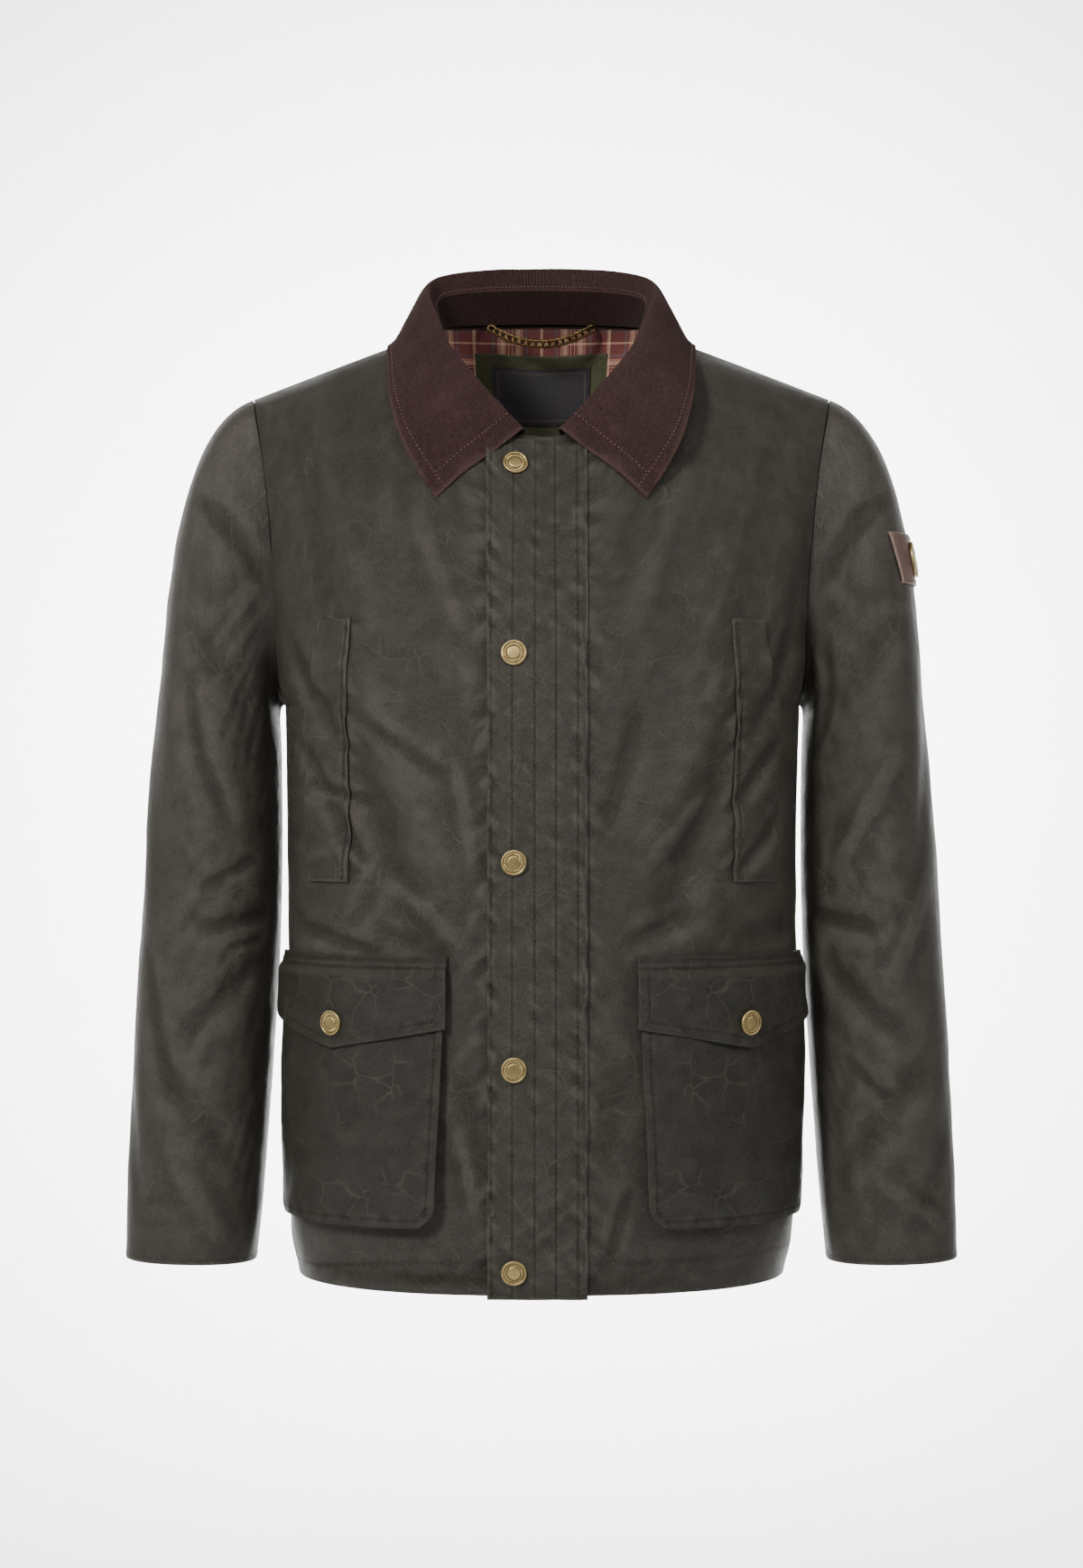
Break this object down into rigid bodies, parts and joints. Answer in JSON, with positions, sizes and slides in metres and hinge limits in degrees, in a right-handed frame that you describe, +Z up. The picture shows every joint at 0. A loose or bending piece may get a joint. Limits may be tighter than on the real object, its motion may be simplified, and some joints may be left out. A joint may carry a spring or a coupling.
{
  "type": "waxed cotton jacket",
  "caption": "Waxed cotton field jacket, snapped shut, with a corduroy collar, a storm placket, chest welts and flapped bellows pockets, filled out as worn.",
  "frame": {"origin": "middle of the neck opening, level with the points where the shoulder seams reach the collar", "axes": "+Z up, +X to the wearer's left, the front of the jacket faces -Y"},
  "size_m": [0.637, 0.2742, 0.788],
  "materials": {
    "waxed_cotton": "satin waxed",
    "corduroy": "fine ribbed pile",
    "check_lining": "brushed check",
    "olive_facing": "matt",
    "woven_label": "matt twill",
    "brass": "dull brushed",
    "badge_leather": "satin"
  },
  "bodies": {
    "jacket": {"front_left": "waxed_cotton", "front_right": "waxed_cotton", "back": "waxed_cotton", "placket": "waxed_cotton", "sleeve_left": "waxed_cotton", "sleeve_right": "waxed_cotton", "chest_welt_left": "waxed_cotton", "chest_welt_right": "waxed_cotton", "pocket_front_left": "waxed_cotton", "pocket_front_right": "waxed_cotton", "pocket_gusset_left": "waxed_cotton", "pocket_gusset_right": "waxed_cotton", "pocket_flap_left": "waxed_cotton", "pocket_flap_right": "waxed_cotton", "collar_leaf": "corduroy", "collar_stand": "corduroy", "back_lining": "check_lining", "neck_patch": "olive_facing", "neck_label": "woven_label", "sleeve_badge": "badge_leather", "badge_plaque": "brass", "placket_snap_1": "brass", "placket_snap_2": "brass", "placket_snap_3": "brass", "placket_snap_4": "brass", "placket_snap_5": "brass", "pocket_snap_left": "brass", "pocket_snap_right": "brass"},
    "chain": {"hanger_chain": "brass"}
  },
  "joints": [
    {"name": "hanger_chain_swing", "type": "hinge", "parent": "jacket", "child": "chain", "pos_m": [0, 0.0464, 0.0082], "axis": [-1, 0, 0], "range_deg": [-20, 80]}
  ]
}
